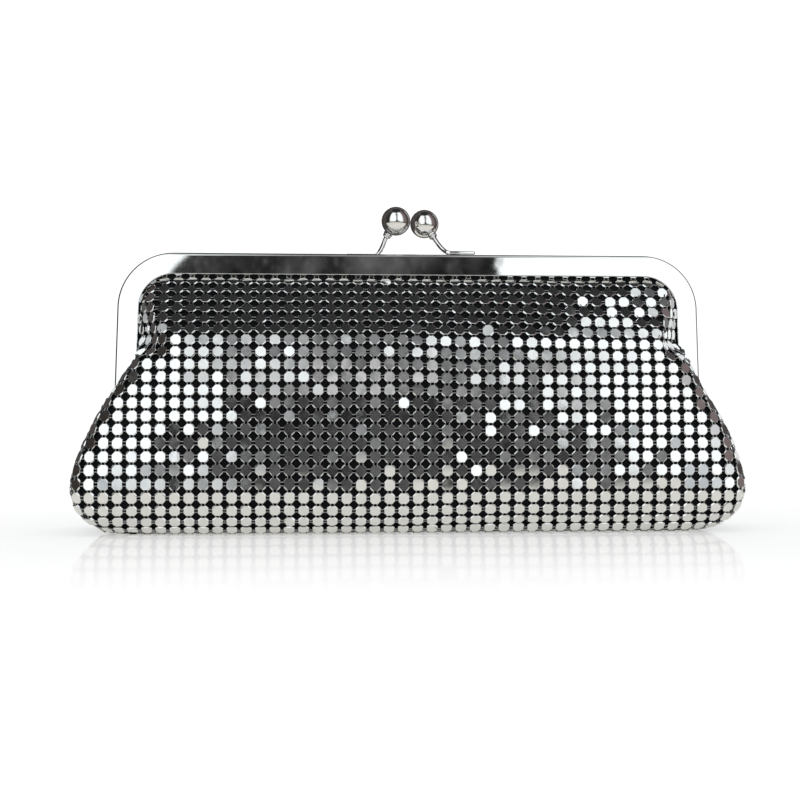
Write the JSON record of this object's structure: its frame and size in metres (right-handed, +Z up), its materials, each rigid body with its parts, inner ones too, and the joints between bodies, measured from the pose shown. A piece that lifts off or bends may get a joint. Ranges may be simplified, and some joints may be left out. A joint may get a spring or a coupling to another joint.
{
  "type": "evening bag",
  "caption": "Metal-mesh evening clutch: two polished half frames hinge open sideways and close with a two-ball kiss lock above a padded, satin-lined ring-mesh body.",
  "frame": {"origin": "middle of the flat base, on the bag's middle plane", "axes": "+X along the width to the right seen from the front, -Y out of the front, +Z up"},
  "size_m": [0.2414, 0.0534, 0.1165],
  "materials": {
    "polished_nickel": "mirror polish",
    "ring_mesh": "polished flat plates linked by rings",
    "lining_satin": "black satin",
    "padding_foam": "thin soft foam",
    "base_card": "stiff card",
    "paper_cord": "twisted paper"
  },
  "bodies": {
    "bag": {"mesh_shell": "ring_mesh", "padding_shell": "padding_foam", "base_board": "base_card", "lining_pouch": "lining_satin", "slip_pocket": "lining_satin", "hinge_rivet_left": "polished_nickel", "hinge_rivet_right": "polished_nickel"},
    "front_half": {"front_frame": "polished_nickel", "front_clasp_post": "polished_nickel", "front_clasp_ball": "polished_nickel", "front_clasp_collar": "polished_nickel", "frame_cord_front": "paper_cord", "mesh_front_upper": "ring_mesh", "lining_front_upper": "lining_satin"},
    "rear_half": {"rear_frame": "polished_nickel", "rear_clasp_post": "polished_nickel", "rear_clasp_ball": "polished_nickel", "rear_clasp_collar": "polished_nickel", "frame_cord_rear": "paper_cord", "mesh_rear_upper": "ring_mesh", "lining_rear_upper": "lining_satin"}
  },
  "joints": [
    {"name": "front_half_hinge", "type": "hinge", "parent": "bag", "child": "front_half", "pos_m": [0, 0, 0.046], "axis": [1, 0, 0], "range_deg": [0, 45]},
    {"name": "rear_half_hinge", "type": "hinge", "parent": "bag", "child": "rear_half", "pos_m": [0, 0, 0.046], "axis": [1, 0, 0], "range_deg": [-45, 0]}
  ],
  "couplings": [
    {"joint": "rear_half_hinge", "follows": "front_half_hinge", "ratio": -1}
  ]
}
